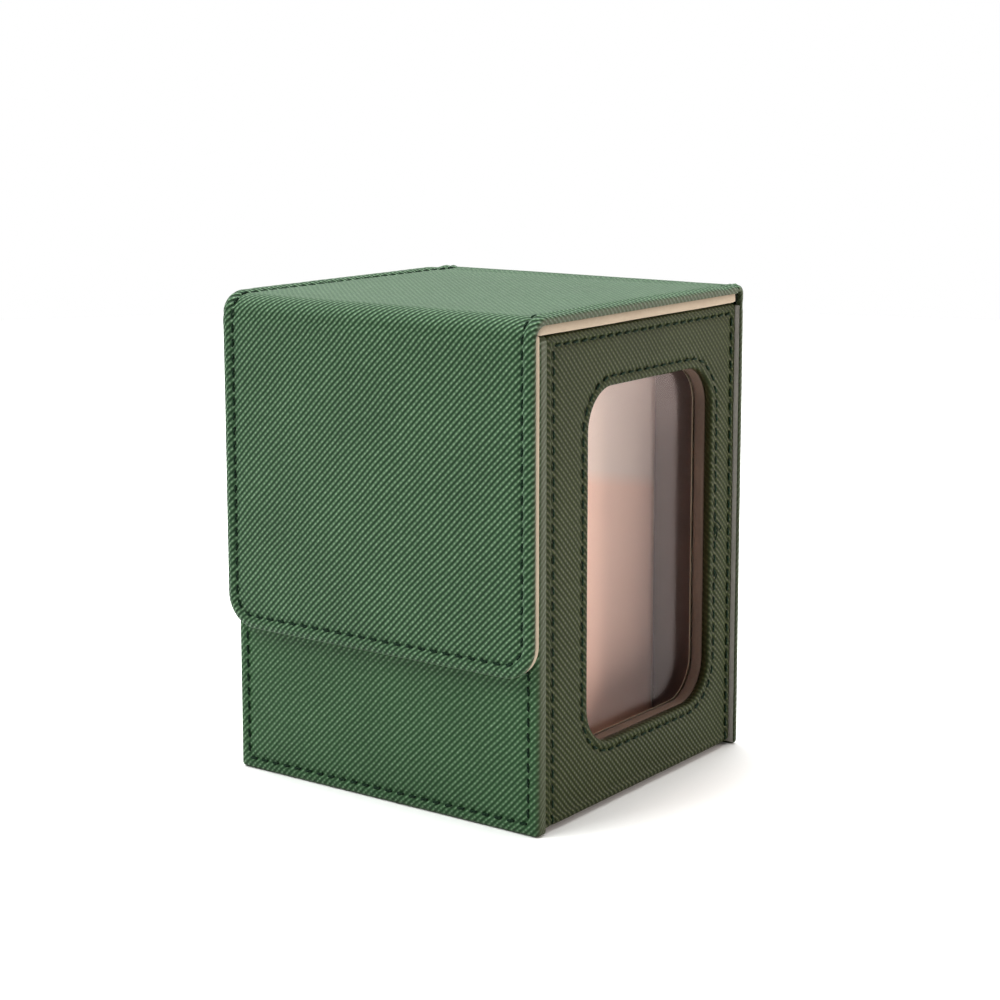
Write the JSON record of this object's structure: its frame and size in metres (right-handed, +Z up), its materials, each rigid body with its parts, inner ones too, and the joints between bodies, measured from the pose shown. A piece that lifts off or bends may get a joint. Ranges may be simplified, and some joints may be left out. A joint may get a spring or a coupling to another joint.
{
  "type": "card deck box",
  "caption": "Flip-top deck box for sleeved trading cards: hinged lid with a magnetic front flap, wrapped walls and a clear display window in one side.",
  "frame": {"origin": "middle of the underside, on the surface that the box stands on", "axes": "+Z up; the flap faces -Y, the lid is hinged along the top back edge at +Y, the window faces +X"},
  "size_m": [0.0772, 0.0776, 0.1],
  "materials": {
    "cover_leather": "embossed twill-like grain, satin",
    "body_leather": "embossed twill-like grain, satin",
    "suede": "soft brushed nap, matt",
    "thread": "twisted polyester, slight sheen",
    "grey_board": "matt",
    "clear_film": "clear, glossy",
    "magnet": "nickel plated"
  },
  "bodies": {
    "box": {"front_skin": "body_leather", "front_board": "grey_board", "front_keepers": "magnet", "front_lining": "suede", "left_skin": "body_leather", "left_board": "grey_board", "left_lining": "suede", "window_skin": "body_leather", "window_board": "grey_board", "window_frame": "suede", "window_film": "clear_film", "window_lining": "suede", "bottom_skin": "body_leather", "bottom_board": "grey_board", "bottom_lining": "suede", "rear_board": "grey_board", "rear_lining": "suede", "slot_lining": "suede", "partition_board": "grey_board", "partition_lining": "suede", "back_skin": "cover_leather", "back_board": "grey_board", "hinge_skin": "cover_leather", "front_stitching": "thread", "window_stitching": "thread", "left_stitching": "thread", "back_stitching": "thread"},
    "lid": {"lid_skin": "cover_leather", "lid_board": "grey_board", "lid_lining": "suede", "fold_skin": "cover_leather", "fold_lining": "suede", "lid_stitching": "thread"},
    "flap": {"flap_skin": "cover_leather", "flap_board": "grey_board", "flap_magnets": "magnet", "flap_lining": "suede", "flap_stitching": "thread"}
  },
  "joints": [
    {"name": "lid_hinge", "type": "hinge", "parent": "box", "child": "lid", "pos_m": [0, 0.0383, 0.09945], "axis": [-1, 0, 0], "range_deg": [0, 175], "deforming": ["hinge_skin"]},
    {"name": "flap_fold", "type": "hinge", "parent": "lid", "child": "flap", "pos_m": [0, -0.03725, 0.0985], "axis": [-1, 0, 0], "range_deg": [0, 90], "deforming": ["fold_skin", "fold_lining"]}
  ]
}
